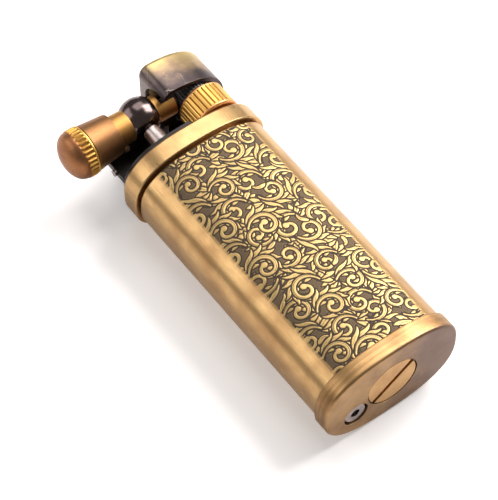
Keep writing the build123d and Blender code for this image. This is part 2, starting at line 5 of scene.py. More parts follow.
import bmesh
import bpy
import numpy as np
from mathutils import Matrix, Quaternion, Vector


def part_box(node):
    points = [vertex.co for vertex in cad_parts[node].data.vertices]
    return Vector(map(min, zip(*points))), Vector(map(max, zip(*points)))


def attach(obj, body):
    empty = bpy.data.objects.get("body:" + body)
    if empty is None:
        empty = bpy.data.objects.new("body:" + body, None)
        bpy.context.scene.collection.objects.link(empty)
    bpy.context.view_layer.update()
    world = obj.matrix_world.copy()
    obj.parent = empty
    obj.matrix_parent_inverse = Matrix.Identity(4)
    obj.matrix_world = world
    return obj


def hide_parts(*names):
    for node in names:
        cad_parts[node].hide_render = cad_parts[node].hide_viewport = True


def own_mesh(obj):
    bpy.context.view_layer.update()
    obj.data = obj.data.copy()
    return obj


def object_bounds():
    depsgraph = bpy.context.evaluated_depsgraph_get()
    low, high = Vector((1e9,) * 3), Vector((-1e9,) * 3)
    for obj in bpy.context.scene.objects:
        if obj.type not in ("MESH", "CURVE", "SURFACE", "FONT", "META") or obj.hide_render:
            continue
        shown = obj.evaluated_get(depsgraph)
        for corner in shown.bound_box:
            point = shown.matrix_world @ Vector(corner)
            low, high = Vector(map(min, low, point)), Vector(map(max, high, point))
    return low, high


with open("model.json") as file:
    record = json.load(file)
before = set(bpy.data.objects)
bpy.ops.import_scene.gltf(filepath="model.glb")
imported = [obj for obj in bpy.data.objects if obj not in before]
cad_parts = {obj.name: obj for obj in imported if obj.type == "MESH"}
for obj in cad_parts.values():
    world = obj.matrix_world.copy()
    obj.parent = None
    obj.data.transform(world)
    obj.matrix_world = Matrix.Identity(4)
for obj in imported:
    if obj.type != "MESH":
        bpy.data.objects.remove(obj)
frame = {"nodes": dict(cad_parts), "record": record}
cad_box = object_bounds()

MM = 0.001
SECTION_POWER = 2.6

# The camera: where it looks from, how far off, and how it is turned about its own axis.
VIEW_AZIMUTH = -21.7
VIEW_ELEVATION = -27.0
VIEW_ROLL = -42.0
VIEW_DISTANCE = 387 * MM
VIEW_LENS = 167.3
AIM_OFFSET = Vector((-0.3, 0.0, -1.3)) * MM
CLIP_START = 10 * MM

# The lighter lies on its back, so the table's up is the row's -Y. These are the table's own
# directions: up from it, away from the viewer along it, and to the viewer's right.
UP = Vector((0, -1, 0))
FAR = Vector((0.588, 0, 0.809))
RIGHT = Vector((0.809, 0, -0.588))

# The table: half its width, its gap under the lighter, and the opening that the lighter covers.
FLOOR_REACH = 1500 * MM
FLOOR_GAP = 0.02 * MM
FLOOR_HOLE = ((-9.5 * MM, 6 * MM), (9.5 * MM, 60 * MM))
FLOOR_PAPER = (0.93, 0.90, 0.89, 1)
FLOOR_ROUGHNESS = 0.9
FLOOR_SPECULAR = 0.1
FLOOR_GLOW = 0.24

# The studio's own grey, and its soft lights: direction as right, far and up on the table, then
# distance, width and height in metres, and power in watts.
WHITE = (1, 1, 1, 1)
STUDIO_GREY = (1.0, 0.97, 0.94, 1)
STUDIO_STRENGTH = 0.24
LIGHTS = {
    "key": ((0.60, 0.50, 0.70), 0.55, (0.36, 0.36), 4.8),
    "left_fill": ((-0.9, 0.05, 0.55), 0.5, (0.30, 0.45), 0.8),
    "top_fill": ((-0.05, 0.55, 0.83), 0.6, (0.5, 0.4), 1.8),
    "back_fill": ((0.3, 0.5, -1.0), 0.6, (0.4, 0.4), 1.5),
}

# The engraved panel on the front of the sleeve, in millimetres.
PANEL_HALF = 8.9
SLEEVE_WALL = 0.8
SLEEVE_STEPS = 150
ENGRAVING_CELL = 0.09
ENGRAVING_DEPTH = 0.06
ENGRAVING_SEED = 11

# A stroke: how far its outline reaches, how low its edge is and over what width it rises, how
# deep the cut round it dips, and the half width and depth of a fine cut along it.
STROKE_MARGIN = 0.35
SHOULDER = 0.1
SHOULDER_WIDTH = 0.15
CUT_DIP = 0.2
FINE_CUT = 0.055
FINE_CUT_DEPTH = 0.45

# The scrolls: their columns and rows, the rise from row to row, how far each strays, their
# sizes, and the share of them that hangs downward.
SCROLL_COLUMNS = (-7.7, -2.6, 2.6, 7.7)
SCROLL_ROWS = range(-1, 11)
SCROLL_RISE = 4.9
SCROLL_START = -0.9
SCROLL_STRAY = 0.45
SCROLL_SIZE = (4.3, 5.2)
SCROLL_UNIT = 4.4
SCROLL_DOWNWARD = 0.2

# A scroll's line: its turns, and the radius it starts and ends with as shares of its size.
CURL_TURNS = 1.22
CURL_FIRST = 0.60
CURL_LAST = 0.135
CURL_STEPS = 90

# Strokes: half width of a tip, where a leaf's tip starts to flick back, the cuts round leaves, lobes
# and bands, the half width from which a leaf has a vein, and how dark veins and band lines are.
TIP_HALF_WIDTH = 0.02
FLICK_FROM = 0.62
LEAF_OUTLINE = 0.22
LOBE_OUTLINE = 0.20
BAND_OUTLINE = 0.24
VEINED_FROM = 0.3
VEIN_DARK = 0.8
BAND_LINE_DARK = 0.9

# A scroll's leaves: place along its line, length and half width. Then its lobes: place and length.
FRONDS = ((0.62, 0.36, 0.26), (0.50, 0.52, 0.30), (0.37, 0.66, 0.33),
          (0.25, 0.80, 0.35), (0.13, 0.92, 0.36), (0.03, 0.96, 0.34))
LOBES = ((0.42, 0.24), (0.26, 0.34), (0.10, 0.36))
LOBE_HALF_WIDTH = 0.30
BALL_HALF_WIDTH = 0.48
BAND_LINE_OFFSET = 0.10
BAND_LINE_STEPS = slice(4, 62)

# Leaves that fill bare ground: how many are tried, the half size of a gap, and how bare it is.
GAP_TRIES = 70
GAP_REACH = 0.75
GAP_SHARE = 0.80

# The thumb roller: inset and distance from its end along the rim, then distance from its lower
# end and groove depth along the land.
KNURLS = 32
SHARP_ANGLE = 40
ROLLER_BORE_R = 1.15
ROLLER_RIM = ((0.55, 0.0), (0.30, 0.05), (0.06, 0.26), (0.0, 0.38), (0.0, 0.58))
ROLLER_LAND = ((0.62, 0.10), (0.70, 0.24), (0.85, 0.24), (2.7, 0.24),
               (4.55, 0.24), (4.70, 0.24), (4.78, 0.10))
ROLLER_LAND_INSET = 0.02
ROLLER_GROOVE = 0.17
ROLLER_STEPS = 14
ROLLER_SEED = 5

# The flint knob: inset, height and groove depth, from its foot and then from its shoulder.
KNOB_BORE_R = 0.85
KNOB_DOME = 2.8
KNOB_FOOT = ((0.35, 0.0, 0), (0.14, 0.04, 0), (0.08, 0.14, 0), (0.08, 0.34, 0),
             (0.16, 0.40, 0), (0.10, 0.46, 0.10), (0.0, 0.60, 0.34), (0.0, 0.8, 0.36))
KNOB_SHOULDER = ((0.0, -0.30, 0.36), (0.03, -0.12, 0.30), (0.12, 0.02, 0.12), (0.16, 0.10, 0))
KNOB_DOME_ROWS = 20
KNOB_TIP_R = 0.02
KNOB_STEPS = 12
KNOB_SEED = 9


# ---------------------------------------------------------------- camera and stage
def toward(azimuth, elevation):
    """Unit vector from the object towards a viewer at these angles."""
    a, e = radians(azimuth), radians(elevation)
    return Vector((sin(a) * cos(e), -cos(a) * cos(e), sin(e)))


def make_camera():
    """The camera at the photograph's viewing angle."""
    data = bpy.data.cameras.new("camera")
    camera = bpy.data.objects.new("camera", data)
    bpy.context.collection.objects.link(camera)
    data.lens = VIEW_LENS
    data.clip_start = CLIP_START
    back = toward(VIEW_AZIMUTH, VIEW_ELEVATION)
    middle = (cad_box[0] + cad_box[1]) / 2
    camera.location = middle + AIM_OFFSET + back * VIEW_DISTANCE
    camera.rotation_mode = "QUATERNION"
    roll = Quaternion((0, 0, 1), radians(VIEW_ROLL))
    camera.rotation_quaternion = (-back).to_track_quat("-Z", "Y") @ roll
    bpy.context.scene.camera = camera


def table_direction(right, far, up):
    """Unit vector along a direction given on the table."""
    return (RIGHT * right + FAR * far + UP * up).normalized()


def make_paper():
    """White paper that glows a little to the camera and isn't there from behind."""
    material = bpy.data.materials.new("floor_paper")
    material.use_nodes = True
    tree = material.node_tree
    tree.nodes.clear()
    output = tree.nodes.new("ShaderNodeOutputMaterial")
    mix = tree.nodes.new("ShaderNodeMixShader")
    clear = tree.nodes.new("ShaderNodeBsdfTransparent")
    paper = tree.nodes.new("ShaderNodeBsdfPrincipled")
    side = tree.nodes.new("ShaderNodeNewGeometry")
    path = tree.nodes.new("ShaderNodeLightPath")
    glow = tree.nodes.new("ShaderNodeMath")
    paper.inputs["Base Color"].default_value = FLOOR_PAPER
    paper.inputs["Roughness"].default_value = FLOOR_ROUGHNESS
    paper.inputs["Specular IOR Level"].default_value = FLOOR_SPECULAR
    paper.inputs["Emission Color"].default_value = WHITE
    glow.operation = "MULTIPLY"
    glow.inputs[1].default_value = FLOOR_GLOW
    tree.links.new(path.outputs["Is Camera Ray"], glow.inputs[0])
    tree.links.new(glow.outputs[0], paper.inputs["Emission Strength"])
    tree.links.new(side.outputs["Backfacing"], mix.inputs["Fac"])
    tree.links.new(paper.outputs[0], mix.inputs[1])
    tree.links.new(clear.outputs[0], mix.inputs[2])
    tree.links.new(mix.outputs[0], output.inputs[0])
    return material


def make_floor():
    """The white table behind the lighter, open under it and seen from its front side only."""
    y = cad_box[1].y + FLOOR_GAP
    reach = FLOOR_REACH
    (x0, z0), (x1, z1) = FLOOR_HOLE
    mesh = bmesh.new()
    outer = [mesh.verts.new((x, y, z)) for x, z in
             ((-reach, -reach), (reach, -reach), (reach, reach), (-reach, reach))]
    inner = [mesh.verts.new((x, y, z)) for x, z in ((x0, z0), (x1, z0), (x1, z1), (x0, z1))]
    for k in range(4):
        n = (k + 1) % 4
        mesh.faces.new((outer[k], outer[n], inner[n], inner[k]))
    data = bpy.data.meshes.new("floor")
    mesh.to_mesh(data)
    mesh.free()
    floor = bpy.data.objects.new("floor", data)
    bpy.context.collection.objects.link(floor)
    floor.visible_shadow = False
    data.materials.append(make_paper())
    if data.polygons[0].normal.y > 0:
        data.flip_normals()


def make_light(name, direction, distance, size, power):
    """A soft rectangular light that looks at the middle of the lighter."""
    data = bpy.data.lights.new(name, "AREA")
    data.shape = "RECTANGLE"
    data.size, data.size_y = size
    data.energy = power
    light = bpy.data.objects.new(name, data)
    bpy.context.collection.objects.link(light)
    middle = (cad_box[0] + cad_box[1]) / 2
    light.location = middle + direction * distance
    light.rotation_mode = "QUATERNION"
    light.rotation_quaternion = (-direction).to_track_quat("-Z", "Y")
    light.visible_camera = False


def make_world():
    """Even white for the camera, a soft grey studio for light and reflections."""
    world = bpy.data.worlds.new("studio")
    bpy.context.scene.world = world
    world.use_nodes = True
    tree = world.node_tree
    tree.nodes.clear()
    output = tree.nodes.new("ShaderNodeOutputWorld")
    seen = tree.nodes.new("ShaderNodeBackground")
    studio = tree.nodes.new("ShaderNodeBackground")
    mix = tree.nodes.new("ShaderNodeMixShader")
    path = tree.nodes.new("ShaderNodeLightPath")
    seen.inputs["Color"].default_value = WHITE
    studio.inputs["Color"].default_value = STUDIO_GREY
    studio.inputs["Strength"].default_value = STUDIO_STRENGTH
    tree.links.new(path.outputs["Is Camera Ray"], mix.inputs["Fac"])
    tree.links.new(studio.outputs[0], mix.inputs[1])
    tree.links.new(seen.outputs[0], mix.inputs[2])
    tree.links.new(mix.outputs[0], output.inputs[0])


def make_studio():
    """The world and the lights, shown with plain display colours."""
    bpy.context.scene.view_settings.view_transform = "Standard"
    make_world()
    for name, (direction, distance, size, power) in LIGHTS.items():
        make_light(name, table_direction(*direction), distance, size, power)


# ---------------------------------------------------------------- materials
# Painted shade in corners: how far it reaches from them, how much there is, and its share of the dark
# colour. Then how deep polishing marks and pits look.
CORNER_REACH = 0.9
CORNER_SHADE_AMOUNT = 0.6
CORNER_SHADE_SHARE = 0.35
MARK_DEPTH = 0.006
PIT_DEPTH = 0.008


class Shader:
    """A node material: short calls to add nodes, feed them and reach the Principled shader."""

    def __init__(self, name):
        """A new material of this name, with a Principled shader that nothing feeds yet."""
        self.material = bpy.data.materials.new(name)
        self.material.use_nodes = True
        self.tree = self.material.node_tree
        self.tree.nodes.clear()
        self.output = self.tree.nodes.new("ShaderNodeOutputMaterial")
        self.base = self.tree.nodes.new("ShaderNodeBsdfPrincipled")
        self.tree.links.new(self.base.outputs[0], self.output.inputs[0])

    def feed(self, socket, value):
        """Links a socket to an input, or sets the input's own value."""
        if isinstance(value, bpy.types.NodeSocket):
            self.tree.links.new(value, socket)
        else:
            socket.default_value = value

    def node(self, kind, inputs=None, **settings):
        """A node of a kind, with its settings and its inputs fed."""
        made = self.tree.nodes.new(kind)
        for key, value in settings.items():
            setattr(made, key, value)
        for key, value in (inputs or {}).items():
            self.feed(made.inputs[key], value)
        return made

    def set(self, **inputs):
        """Feeds inputs of the Principled shader, named with underscores."""
        for key, value in inputs.items():
            self.feed(self.base.inputs[key.replace("_", " ")], value)

    def source(self, name):
        """What feeds an input of the Principled shader now."""
        return self.base.inputs[name].links[0].from_socket

    def attribute(self, name):
        """A number stored on the mesh."""
        return self.node("ShaderNodeAttribute", attribute_name=name).outputs["Fac"]

    def place(self, stretch=(1, 1, 1)):
        """Coordinates fixed to the piece, in millimetres, stretched for streaks."""
        spot = self.node("ShaderNodeTexCoord")
        scale = tuple(s / MM for s in stretch)
        return self.node("ShaderNodeMapping", {"Vector": spot.outputs["Object"], "Scale": scale}).outputs[0]

    def noise(self, scale, detail=3.0, stretch=(1, 1, 1), rough=0.55):
        """Cloudy noise of 0 to 1, scale times per millimetre."""
        return self.node("ShaderNodeTexNoise", {"Vector": self.place(stretch), "Scale": scale,
                                                "Detail": detail, "Roughness": rough}).outputs["Fac"]

    def ramp(self, value, low, high, start=0.0, end=1.0):
        """Value from low to high, mapped to start to end and held there."""
        return self.node("ShaderNodeMapRange", {"Value": value, "From Min": low, "From Max": high,
                                                "To Min": start, "To Max": end}).outputs[0]

    def math(self, kind, a, b):
        """Two numbers combined."""
        return self.node("ShaderNodeMath", {0: a, 1: b}, operation=kind).outputs[0]

    def mix(self, amount, first, second):
        """From the first colour to the second as amount goes from 0 to 1."""
        made = self.node("ShaderNodeMix", data_type="RGBA")
        self.feed(made.inputs["Factor"], amount)
        self.feed(made.inputs[6], first)
        self.feed(made.inputs[7], second)
        return made.outputs[2]

    def bump(self, height, distance, strength, normal=None):
        """The normal of a surface raised by height, distance in millimetres."""
        inputs = {"Height": height, "Distance": distance * MM, "Strength": strength}
        if normal is not None:
            inputs["Normal"] = normal
        return self.node("ShaderNodeBump", inputs).outputs[0]


def colour(r, g, b):
    """An sRGB colour of 0 to 255 as the linear one that shaders take."""
    shares = (v / 255 for v in (r, g, b))
    return tuple(v / 12.92 if v <= 0.04045 else ((v + 0.055) / 1.055) ** 2.4 for v in shares) + (1,)


def grey(level):
    """A plain number of 0 to 1 as a colour, for mixes of numbers."""
    return (level, level, level, 1)


def edge_mask(shader, radius):
    """1 on sharp edges and 0 on flats, with the rounded normal that goes with it."""
    soft = shader.node("ShaderNodeBevel", {"Radius": radius * MM}, samples=6).outputs[0]
    flat = shader.node("ShaderNodeNewGeometry").outputs["Normal"]
    agree = shader.node("ShaderNodeVectorMath", {0: soft, 1: flat}, operation="DOT_PRODUCT")
    return shader.ramp(agree.outputs["Value"], 0.995, 0.85), soft


def metal(name, base, dark, worn, rough, streak=(1, 1, 1), tarnish=0.5, edge=0.12, rough_spread=0.12):
    """Plated or bare metal: drawn-out polishing marks, cloudy tarnish, worn edges, painted shade in
    corners.
    """
    s = Shader(name)
    cloud = s.noise(0.16, 4.0)
    marks = s.noise(2.6, 4.0, streak, 0.6)
    pits = s.noise(5.0, 2.0)
    wear, soft = edge_mask(s, edge)
    shade = s.math("MULTIPLY", s.ramp(cloud, 0.42, 0.68), tarnish)
    tone = s.mix(shade, base, dark)
    tone = s.mix(s.ramp(marks, 0.35, 0.7, 0.0, 0.25), tone, dark)
    tone = s.mix(s.math("MULTIPLY", wear, s.ramp(pits, 0.3, 0.6, 0.35, 0.9)), tone, worn)
    # Painted shade: ambient occlusion darkens the colour in corners and crevices.
    corner = s.node("ShaderNodeAmbientOcclusion", {"Distance": CORNER_REACH * MM}, samples=8).outputs["AO"]
    corner_shade_tone = tuple(CORNER_SHADE_SHARE * c for c in dark[:3]) + (1,)
    tone = s.mix(s.ramp(corner, 0.75, 0.25, 0.0, CORNER_SHADE_AMOUNT), tone, corner_shade_tone)
    gloss = s.ramp(marks, 0.3, 0.7, rough - rough_spread / 2, rough + rough_spread / 2)
    gloss = s.math("ADD", gloss, s.math("MULTIPLY", shade, 0.10))
    normal = s.bump(marks, MARK_DEPTH, 0.55, soft)
    normal = s.bump(pits, PIT_DEPTH, 0.30, normal)
    s.set(Base_Color=tone, Metallic=1.0, Roughness=gloss, Normal=normal)
    return s


# Plain metals: clean, tarnished and rubbed colours, roughness, and what else differs.
GOLD = (colour(200, 163, 112), colour(142, 102, 66), colour(238, 208, 154))
METALS = {
    "antique_brass": (GOLD, 0.30, {"streak": (3.0, 3.0, 0.12)}),
    "copper_brass": ((colour(212, 166, 106), colour(158, 112, 66), colour(246, 208, 150)), 0.32,
                     {"streak": (0.3, 3.0, 1.0)}),
    "bright_brass": ((colour(232, 182, 92), colour(168, 112, 48), colour(255, 226, 150)), 0.26, {}),
    "black_nickel": ((colour(62, 58, 56), colour(24, 22, 22), colour(140, 130, 120)), 0.34, {}),
    "black_nickel_polished": ((colour(112, 97, 94), colour(66, 57, 57), colour(214, 204, 196)), 0.17,
                              {"rough_spread": 0.05}),
    "steel": ((colour(190, 176, 172), colour(124, 110, 108), colour(236, 230, 226)), 0.32, {}),
    "spring_steel": ((colour(170, 168, 168), colour(96, 94, 94), colour(226, 226, 226)), 0.26, {}),
    "hardened_steel": ((colour(130, 126, 124), colour(70, 66, 64), colour(190, 186, 182)), 0.36, {}),
    "tank_steel": ((colour(180, 180, 184), colour(110, 110, 114), colour(220, 220, 224)), 0.42,
                   {"streak": (3, 3, 0.2)}),
}

# Rubber and flint: two colours and roughness.
DULL = {
    "nitrile": (colour(38, 38, 38), colour(24, 24, 24), 0.7),
    "ferrocerium": (colour(96, 92, 90), colour(62, 60, 58), 0.62),
}

# Colours of places where the finish has changed, and of painted shade in grooves, at the hood's lower edge
# and on the base's face.
CUT_BROWN = colour(40, 27, 18)
GROUND_DUST = (colour(84, 72, 62), colour(116, 98, 80))
PANEL_OLIVE = colour(184, 160, 104)
ROLLER_COPPER = colour(228, 160, 104)
ROLLER_GROOVE_SHADE = colour(140, 92, 36)
KNOB_YELLOW = colour(222, 172, 90)
KNOB_GROOVE_SHADE = colour(122, 78, 30)
HOOD_TAN = colour(158, 132, 104)
HOOD_OLIVE = colour(190, 166, 112)
HOOD_SHADE = colour(70, 60, 62)
SCRATCH_LIGHT = colour(216, 204, 186)
NECK_YELLOW = colour(194, 144, 78)
BASE_SHADE_MAUVE = colour(112, 90, 80)
BASE_STREAK = colour(112, 82, 50)


def make_dull(name, base, dark, rough):
    """Rubber, flint and other pieces that aren't metal."""
    s = Shader(name)
    cloud = s.noise(0.6, 4.0)
    grit = s.noise(6.0, 3.0)
    tone = s.mix(s.ramp(cloud, 0.35, 0.7), base, dark)
    normal = s.bump(grit, 0.03, 0.5)
    s.set(Base_Color=tone, Roughness=s.ramp(grit, 0.3, 0.7, rough - 0.08, rough + 0.08), Normal=normal)
    return s


def engraved_brass():
    """The sleeve: satin brass, with brown cuts and a matt, dusty ground in the engraving."""
    s = metal("engraved_brass", *GOLD, 0.30, (3.0, 3.0, 0.12))
    cut, ground, panel = (s.attribute(name) for name in ("cut", "ground", "panel"))
    dust = s.mix(s.ramp(s.noise(9.0, 2.0), 0.35, 0.65), *GROUND_DUST)
    line = s.ramp(cut, 0.15, 0.60)
    top = s.mix(s.math("MULTIPLY", panel, 0.5), s.source("Base Color"), PANEL_OLIVE)
    tone = s.mix(s.math("MULTIPLY", ground, 0.95), top, dust)
    tone = s.mix(s.math("MULTIPLY", line, 0.96), tone, CUT_BROWN)
    gloss = s.mix(s.math("MULTIPLY", panel, 0.8), s.source("Roughness"), grey(0.48))
    gloss = s.mix(s.math("MAXIMUM", line, ground), gloss, grey(0.72))
    s.set(Base_Color=tone, Roughness=gloss, Metallic=s.ramp(line, 0.0, 1.0, 1.0, 0.25))
    return s.material


def shade_grooves(shader, dark, deep):
    """Darkens the bottoms of a turned piece's grooves with painted shade, and dulls them."""
    amount = shader.ramp(shader.attribute("groove"), 0.25, 0.85, 0.0, deep)
    tone = shader.mix(amount, shader.source("Base Color"), dark)
    gloss = shader.math("ADD", shader.source("Roughness"), shader.math("MULTIPLY", amount, 0.25))
    shader.set(Base_Color=tone, Roughness=gloss)


def along(shader, axis):
    """A piece's own coordinate along one axis, in millimetres."""
    spot = shader.node("ShaderNodeTexCoord").outputs["Object"]
    split = shader.node("ShaderNodeSeparateXYZ", {0: spot})
    return shader.math("MULTIPLY", split.outputs[axis], 1 / MM)


def cloudy_along(shader, axis, scale, detail, spread):
    """The same coordinate with a cloudy error of up to spread either way."""
    error = shader.ramp(shader.noise(scale, detail), 0.3, 0.7, -spread, spread)
    return shader.math("ADD", along(shader, axis), error)


def roller_brass():
    """Bright yellow lands, grooves darkened brown with painted shade, and coppery rims where the plating
    has worn through.
    """
    s = metal("roller_brass", colour(222, 174, 94), colour(180, 128, 62), colour(246, 210, 140), 0.38,
              (1, 1, 0.2), tarnish=0.35, edge=0.05)
    height = along(s, "Z")
    lo, hi = (corner.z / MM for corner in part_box("thumb_roller"))
    rim = s.math("MAXIMUM", s.ramp(height, lo + 0.75, lo + 0.45), s.ramp(height, hi - 0.75, hi - 0.45))
    s.set(Base_Color=s.mix(s.math("MULTIPLY", rim, 0.8), s.source("Base Color"), ROLLER_COPPER))
    # Painted shade in the bottoms of the roller's grooves.
    shade_grooves(s, ROLLER_GROOVE_SHADE, 0.75)
    return s.material


def knob_brass():
    """A coppery brown dome with bright yellow ridges, and painted shade in the grooves between them."""
    s = metal("knob_brass", colour(162, 110, 72), colour(116, 78, 54), colour(216, 164, 104), 0.42,
              tarnish=0.6, edge=0.08)
    place = along(s, "X")
    lo, hi = (corner.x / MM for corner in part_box("flint_knob"))
    band = s.math("MULTIPLY", s.ramp(place, lo + 2.7, lo + 3.0), s.ramp(place, hi + 0.2, hi - 0.1))
    s.set(Base_Color=s.mix(s.math("MULTIPLY", band, 0.9), s.source("Base Color"), KNOB_YELLOW))
    # Painted shade in the bottoms of the knob's grooves.
    shade_grooves(s, KNOB_GROOVE_SHADE, 0.85)
    return s.material


def hood_plating():
    """Gunmetal, rubbed to olive brass towards its top, and darkened towards its lower edge with painted
    shade.
    """
    s = metal("gunmetal_hood", colour(104, 92, 88), colour(72, 62, 62), colour(190, 166, 118), 0.34,
              (0.25, 2.0, 2.5), tarnish=0.6)
    corner, far_corner = (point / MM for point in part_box("hood_shell"))
    left, lo, hi = corner.x, corner.z, far_corner.z
    height = cloudy_along(s, "Z", 0.28, 4.0, 1.4)
    slant = s.math("ADD", along(s, "X"), s.ramp(height, lo, hi, 0.0, 1.2))
    handled = s.ramp(slant, left + 1.6, left + 3.4)
    tan = s.math("MULTIPLY", handled, s.ramp(height, lo + 1.4, hi - 3.2))
    olive = s.math("MULTIPLY", handled, s.ramp(height, hi - 3.6, hi - 0.6))
    rubbed = s.mix(olive, s.mix(tan, s.source("Base Color"), HOOD_TAN), HOOD_OLIVE)
    # Painted shade: darker towards the hood's lower edge.
    shade = s.mix(s.ramp(height, lo + 3.4, lo + 0.2, 0.0, 0.8), rubbed, HOOD_SHADE)
    s.set(Base_Color=scratched(s, shade, SCRATCH_LIGHT, 0.5))
    return s


def scratched(shader, tone, light, amount):
    """A few fine curved scratches laid over a colour."""
    warp = shader.node("ShaderNodeTexNoise", {"Vector": shader.place(), "Scale": 0.35}).outputs["Color"]
    bent = shader.node("ShaderNodeVectorMath", {0: shader.place((0.5, 0.5, 0.5)), 1: warp}, operation="ADD")
    cells = shader.node("ShaderNodeTexVoronoi", {"Vector": bent.outputs[0], "Scale": 0.55},
                        feature="DISTANCE_TO_EDGE").outputs["Distance"]
    line = shader.ramp(cells, 0.012, 0.0)
    patch = shader.ramp(shader.noise(0.5, 2.0), 0.52, 0.60)
    return shader.mix(shader.math("MULTIPLY", shader.math("MULTIPLY", line, patch), amount), tone, light)


def tube_brass():
    """Coppery brown on the barrel, yellower where the tube is handled less."""
    s = metal("bronze_brass", colour(160, 114, 74), colour(108, 76, 48), colour(214, 168, 110), 0.42,
              (0.2, 3.0, 3.0))
    place = cloudy_along(s, "X", 0.4, 3.0, 0.6)
    s.set(Base_Color=s.mix(s.ramp(place, -9.4, -8.4, 0.0, 0.7), s.source("Base Color"), NECK_YELLOW))
    return s


def base_brass():
    """The base: brushed brass, its face darkened to mauve-brown towards its right side with painted shade.
    """
    s = metal("base_brass", colour(186, 148, 100), colour(134, 98, 66), colour(232, 204, 154), 0.38,
              (0.25, 3.0, 3.0), tarnish=0.8)
    place = cloudy_along(s, "X", 0.22, 4.0, 3.5)
    face = s.ramp(along(s, "Z"), 0.6, 0.2)
    # Painted shade: the base's face turns mauve-brown towards its right side.
    painted_face_shade = s.math("MULTIPLY", face, s.ramp(place, -6.0, 8.0, 0.1, 0.95))
    tone = s.mix(painted_face_shade, s.source("Base Color"), BASE_SHADE_MAUVE)
    band = s.ramp(s.noise(0.5, 5.0, (0.12, 0.12, 3.0)), 0.42, 0.66, 0.0, 0.7)
    side = s.ramp(face, 1.0, 0.0)
    s.set(Base_Color=s.mix(s.math("MULTIPLY", side, band), tone, BASE_STREAK))
    return s


def dress(node, shader):
    """One CAD node in one material."""
    node.data.materials.clear()
    node.data.materials.append(shader.material)


def dress_frame():
    """Every CAD node gets the material of its slot."""
    made = {name: metal(name, *tones, rough, **rest) for name, (tones, rough, rest) in METALS.items()}
    made.update({name: make_dull(name, *look) for name, look in DULL.items()})
    made["bronze_brass"] = tube_brass()
    made["gunmetal_hood"] = hood_plating()
    for part in frame["record"]["subparts"]:
        dress(frame["nodes"][part["node"]], made[part["material_slot"]])
    dress(frame["nodes"]["base_cap"], base_brass())


# ---------------------------------------------------------------- engraving
class Relief:
    """A height field over the panel, built from overlapping strokes as an engraver cuts them."""

    def __init__(self, bottom, top):
        """Bare ground from bottom to top, in millimetres; its height is 0, and 1 is the metal's face."""
        self.x = np.linspace(-PANEL_HALF, PANEL_HALF, ceil(2 * PANEL_HALF / ENGRAVING_CELL) + 1)
        self.z = np.linspace(bottom, top, ceil((top - bottom) / ENGRAVING_CELL) + 1)
        self.height = np.zeros((len(self.z), len(self.x)))
        self.line = np.zeros_like(self.height)
        self.ground = np.ones_like(self.height)

    def distance(self, points, widths):
        """The window of cells that a stroke touches, and how far each lies outside it."""
        spots = np.asarray(points)
        reach = max(widths) + STROKE_MARGIN
        low, high = spots.min(axis=0) - reach, spots.max(axis=0) + reach
        i0, i1 = np.searchsorted(self.x, (low[0], high[0]))
        j0, j1 = np.searchsorted(self.z, (low[1], high[1]))
        if i0 == i1 or j0 == j1:
            return None, None
        across, along = np.meshgrid(self.x[i0:i1], self.z[j0:j1])
        away = np.full(across.shape, np.inf)
        for (x, z), width in zip(spots, widths):
            np.minimum(away, np.hypot(across - x, along - z) - width, out=away)
        return (slice(j0, j1), slice(i0, i1)), away

    def cover(self, away):
        """The share of each cell that lies inside a stroke."""
        return np.clip(0.5 - away / ENGRAVING_CELL, 0, 1)

    def raise_stroke(self, points, widths, outline):
        """A raised stroke with rounded shoulders and a dark cut round it."""
        window, away = self.distance(points, widths)
        if window is None:
            return
        cut = self.cover(away - outline)
        top = self.cover(away)
        crown = 1 - SHOULDER * (1 - np.sqrt(np.clip(-away / SHOULDER_WIDTH, 0, 1)))
        self.height[window] = self.height[window] * (1 - cut) - CUT_DIP * cut * (1 - top) + crown * top
        self.line[window] = self.line[window] * (1 - cut) + cut * (1 - top)
        self.ground[window] *= 1 - cut

    def cut_line(self, points, dark):
        """A fine cut along a stroke that is already raised."""
        window, away = self.distance(points, [FINE_CUT] * len(points))
        if window is None:
            return
        cut = self.cover(away)
        self.height[window] -= FINE_CUT_DEPTH * cut * self.height[window].clip(0, 1)
        self.line[window] = np.maximum(self.line[window], dark * cut)

    def widest_gap(self, reach):
        """Where a square of this half size holds the most bare ground, and its share of it."""
        n = int(reach / ENGRAVING_CELL)
        side = 2 * n + 1
        total = np.pad(self.ground, ((1, 0), (1, 0))).cumsum(0).cumsum(1)
        sums = total[side:, side:] - total[:-side, side:] - total[side:, :-side] + total[:-side, :-side]
        j, i = np.unravel_index(np.argmax(sums), sums.shape)
        return self.x[i + n], self.z[j + n], sums[j, i] / side ** 2


def curl(root, heading, side, size):
    """A line that leaves root and winds up, its bend tightening as it goes, and its headings."""
    length = CURL_TURNS * 2 * pi * (CURL_FIRST - CURL_LAST) * size / log(CURL_FIRST / CURL_LAST)
    step = length / (CURL_STEPS - 1)
    x, z = root
    turn = heading
    points, headings = [], []
    for i in range(CURL_STEPS):
        points.append((x, z))
        headings.append(turn)
        radius = size * (CURL_FIRST + (CURL_LAST - CURL_FIRST) * i / (CURL_STEPS - 1))
        turn += side * step / radius
        x += cos(turn) * step
        z += sin(turn) * step
    return points, headings


def frond(root, heading, side, length, bend, flick, steps=30):
    """The line of a leaf: it bends one way, then its tip flicks back."""
    x, z = root
    turn = heading
    points = []
    for i in range(steps):
        points.append((x, z))
        turn += side * (bend if i < FLICK_FROM * steps else -flick) / steps
        x += cos(turn) * length / (steps - 1)
        z += sin(turn) * length / (steps - 1)
    return points


